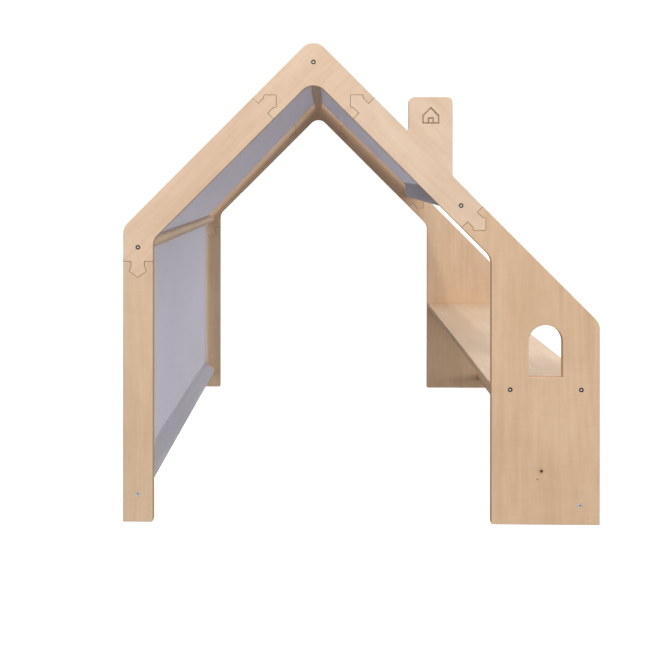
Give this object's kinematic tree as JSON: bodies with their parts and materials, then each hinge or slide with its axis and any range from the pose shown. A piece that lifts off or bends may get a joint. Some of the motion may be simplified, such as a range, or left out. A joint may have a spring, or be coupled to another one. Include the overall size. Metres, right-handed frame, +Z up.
{
  "type": "children's playhouse",
  "caption": "Open gabled playhouse of birch plywood boards tied by round rails and a side desk, with a cloth cover over one wall and the roof.",
  "frame": {"origin": "on the floor, under the middle of the house's overall width and depth", "axes": "+X from the low cloth wall on the left to the desk on the right, +Y from the front gable with the window and chimney to the back gable, +Z up"},
  "size_m": [1.23, 1.14, 1.2394],
  "materials": {
    "birch_plywood": "satin clear lacquer over birch veneer, layered edges",
    "pale_birch_plywood": "satin clear lacquer over a paler birch veneer, layered edges",
    "rail_wood": "satin clear lacquer over turned solid wood",
    "grey_cloth": "matte plain weave in grey with a hint of lavender",
    "bolt_steel": "zinc plated, slightly dull",
    "insert_brass": "plain turned",
    "nut_steel": "zinc plated"
  },
  "bodies": {
    "root": {"front_left_post": "birch_plywood", "front_left_rafter": "pale_birch_plywood", "front_apex": "birch_plywood", "front_chimney_rafter": "pale_birch_plywood", "front_window_panel": "birch_plywood", "back_left_post": "birch_plywood", "back_left_rafter": "pale_birch_plywood", "back_apex": "birch_plywood", "back_right_rafter": "pale_birch_plywood", "back_side_panel": "birch_plywood", "ridge_rail": "rail_wood", "eave_rail": "rail_wood", "roof_end_rail": "rail_wood", "left_foot_rail": "rail_wood", "right_foot_rail": "rail_wood", "desk_board": "pale_birch_plywood", "cloth_cover": "grey_cloth", "front_bolts": "bolt_steel", "front_inserts": "insert_brass", "front_barrel_nuts": "nut_steel", "back_bolts": "bolt_steel", "back_inserts": "insert_brass", "back_barrel_nuts": "nut_steel"}
  },
  "joints": []
}
